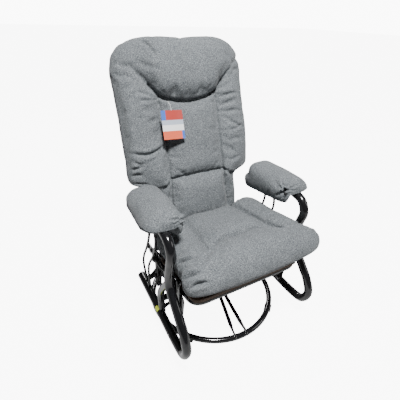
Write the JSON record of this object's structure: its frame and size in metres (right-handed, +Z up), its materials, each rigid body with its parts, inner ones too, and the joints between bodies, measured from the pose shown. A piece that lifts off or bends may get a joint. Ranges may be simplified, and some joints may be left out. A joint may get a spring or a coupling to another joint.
{
  "type": "glider nursery chair",
  "caption": "Swivel glider nursery chair: padded seat and reclining back hung on links in a black tube frame with arm pads, on a round floor ring.",
  "frame": {"origin": "centre of the chair's bounding box, on the floor", "axes": "+Z up; the chair faces -Y; +X is the sitter's left"},
  "size_m": [0.688, 0.7458, 1.0608],
  "materials": {
    "frame_paint": "gloss black powder coat",
    "zinc": "zinc plated",
    "fabric": "heathered grey woven upholstery",
    "floor_pad": "moulded",
    "knob": "gloss moulded ball",
    "plywood": "raw plywood",
    "paper_tag": "coated card, plain colour bands",
    "sticker": "plain vinyl"
  },
  "bodies": {
    "floor_base": {"base_ring": "frame_paint", "swivel_hub": "frame_paint", "base_strut_left": "frame_paint", "base_strut_rear": "frame_paint", "base_strut_right": "frame_paint", "base_strut_front": "frame_paint", "floor_pad_1": "floor_pad", "floor_pad_2": "floor_pad", "floor_pad_3": "floor_pad", "floor_pad_4": "floor_pad", "swivel_lower_race": "zinc"},
    "outer_frame": {"swivel_upper_race": "zinc", "swivel_upper_plate": "frame_paint", "cross_tube_front": "frame_paint", "cross_tube_rear": "frame_paint", "side_loop_left": "frame_paint", "front_strut_left": "frame_paint", "rear_rod_outer_left": "frame_paint", "rear_rod_inner_left": "frame_paint", "front_pivot_plate_left": "frame_paint", "rear_pivot_plate_left": "frame_paint", "upper_bolt_front_left": "zinc", "upper_bolt_rear_left": "zinc", "arm_pad_left": "fabric", "side_loop_right": "frame_paint", "front_strut_right": "frame_paint", "rear_rod_outer_right": "frame_paint", "rear_rod_inner_right": "frame_paint", "front_pivot_plate_right": "frame_paint", "rear_pivot_plate_right": "frame_paint", "upper_bolt_front_right": "zinc", "upper_bolt_rear_right": "zinc", "arm_pad_right": "fabric"},
    "link_front_left": {"glide_link_front_left": "frame_paint"},
    "link_front_right": {"glide_link_front_right": "frame_paint"},
    "link_rear_left": {"glide_link_rear_left": "frame_paint"},
    "link_rear_right": {"glide_link_rear_right": "frame_paint"},
    "seat_frame": {"glide_plate_left": "frame_paint", "lower_bolt_front_left": "zinc", "lower_bolt_rear_left": "zinc", "recline_bracket_left": "frame_paint", "glide_plate_right": "frame_paint", "lower_bolt_front_right": "zinc", "lower_bolt_rear_right": "zinc", "recline_bracket_right": "frame_paint", "seat_tube": "frame_paint", "seat_rear_bar": "frame_paint", "seat_board": "plywood", "seat_cushion": "fabric"},
    "back_frame": {"back_tube": "frame_paint", "back_cushion": "fabric", "back_arm_left": "frame_paint", "back_arm_right": "frame_paint", "recline_bolt_left": "zinc", "recline_bolt_right": "zinc"},
    "lock_lever": {"lock_lever_rod": "frame_paint", "lock_lever_knob": "knob", "lock_lever_shoe": "zinc"}
  },
  "joints": [
    {"name": "swivel", "type": "hinge", "parent": "floor_base", "child": "outer_frame", "pos_m": [0, -0.04484, 0.136], "axis": [0, 0, 1], "continuous": true},
    {"name": "glide", "type": "hinge", "parent": "outer_frame", "child": "link_front_left", "pos_m": [0.25, -0.21484, 0.325], "axis": [1, 0, 0], "range_deg": [-12, 12]},
    {"name": "glide_front_right", "type": "hinge", "parent": "outer_frame", "child": "link_front_right", "pos_m": [-0.25, -0.21484, 0.325], "axis": [1, 0, 0], "range_deg": [-12, 12]},
    {"name": "glide_rear_left", "type": "hinge", "parent": "outer_frame", "child": "link_rear_left", "pos_m": [0.25, -0.00684, 0.325], "axis": [1, 0, 0], "range_deg": [-12, 12]},
    {"name": "glide_rear_right", "type": "hinge", "parent": "outer_frame", "child": "link_rear_right", "pos_m": [-0.25, -0.00684, 0.325], "axis": [1, 0, 0], "range_deg": [-12, 12]},
    {"name": "seat_level", "type": "hinge", "parent": "link_front_left", "child": "seat_frame", "pos_m": [0.25, -0.21484, 0.135], "axis": [1, 0, 0], "range_deg": [-12, 12]},
    {"name": "recline", "type": "hinge", "parent": "seat_frame", "child": "back_frame", "pos_m": [0, 0.05516, 0.275], "axis": [-1, 0, 0], "range_deg": [0, 30]},
    {"name": "lock_lever", "type": "hinge", "parent": "outer_frame", "child": "lock_lever", "pos_m": [-0.27, -0.16484, 0.352], "axis": [-1, 0, 0], "range_deg": [0, 35]}
  ],
  "couplings": [
    {"joint": "glide_front_right", "follows": "glide", "ratio": 1},
    {"joint": "glide_rear_left", "follows": "glide", "ratio": 1},
    {"joint": "glide_rear_right", "follows": "glide", "ratio": 1},
    {"joint": "seat_level", "follows": "glide", "ratio": -1}
  ]
}
